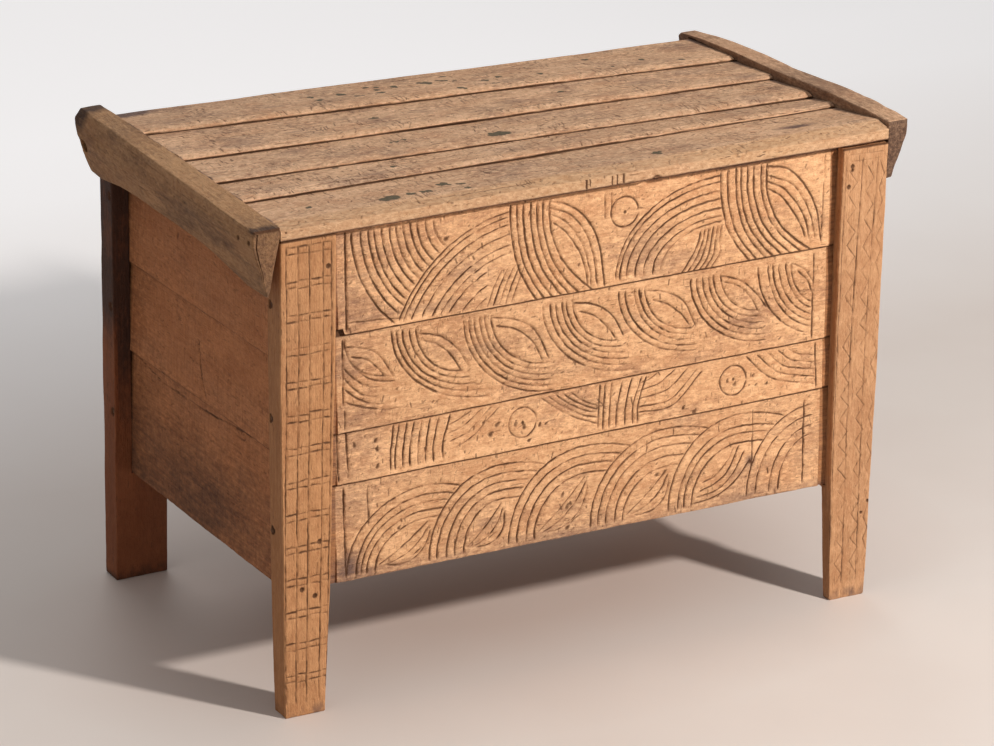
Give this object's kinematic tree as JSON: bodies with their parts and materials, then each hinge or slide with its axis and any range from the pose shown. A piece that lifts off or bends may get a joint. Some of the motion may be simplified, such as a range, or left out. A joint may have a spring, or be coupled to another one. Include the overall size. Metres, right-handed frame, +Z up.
{
  "type": "grain ark chest",
  "caption": "Carpentered storage ark on plank legs: wedge-board walls in grooved corner posts, a carved front, and a lapped lid with deep end cleats that turns on wooden pins.",
  "frame": {"origin": "on the floor under the middle of the chest's bounding box", "axes": "+X to the right along the carved front, +Y from the front to the back, +Z up"},
  "size_m": [1.0576, 0.5804, 0.732],
  "materials": {
    "carved_wood": "dry, worn, unvarnished",
    "wall_wood": "dry, dark with age",
    "floor_wood": "dry, rough",
    "lid_wood": "dry, worn smooth",
    "peg_wood": "end grain, dark"
  },
  "bodies": {
    "carcass": {"front_left_post": "carved_wood", "front_right_post": "carved_wood", "front_board_1": "carved_wood", "front_board_2": "carved_wood", "front_board_3": "carved_wood", "front_board_4": "carved_wood", "rear_left_post": "wall_wood", "rear_right_post": "wall_wood", "left_side_board_1": "wall_wood", "left_side_board_2": "wall_wood", "left_side_board_3": "wall_wood", "right_side_board_1": "wall_wood", "right_side_board_2": "wall_wood", "right_side_board_3": "wall_wood", "back_board_1": "wall_wood", "back_board_2": "wall_wood", "back_board_3": "wall_wood", "back_board_4": "wall_wood", "floor_board_1": "floor_wood", "floor_board_2": "floor_wood", "floor_board_3": "floor_wood", "floor_board_4": "floor_wood", "front_wall_pegs": "peg_wood", "back_wall_pegs": "peg_wood", "left_side_pegs": "peg_wood", "right_side_pegs": "peg_wood", "left_hinge_pin": "peg_wood", "right_hinge_pin": "peg_wood"},
    "lid": {"lid_board_1": "lid_wood", "lid_board_2": "lid_wood", "lid_board_3": "lid_wood", "lid_board_4": "lid_wood", "lid_board_5": "lid_wood", "left_lid_cleat": "lid_wood", "right_lid_cleat": "lid_wood", "left_lid_pegs": "peg_wood", "right_lid_pegs": "peg_wood"}
  },
  "joints": [
    {"name": "lid_hinge", "type": "hinge", "parent": "carcass", "child": "lid", "pos_m": [0, 0.2682, 0.676], "axis": [-1, 0, 0], "range_deg": [0, 100]}
  ]
}
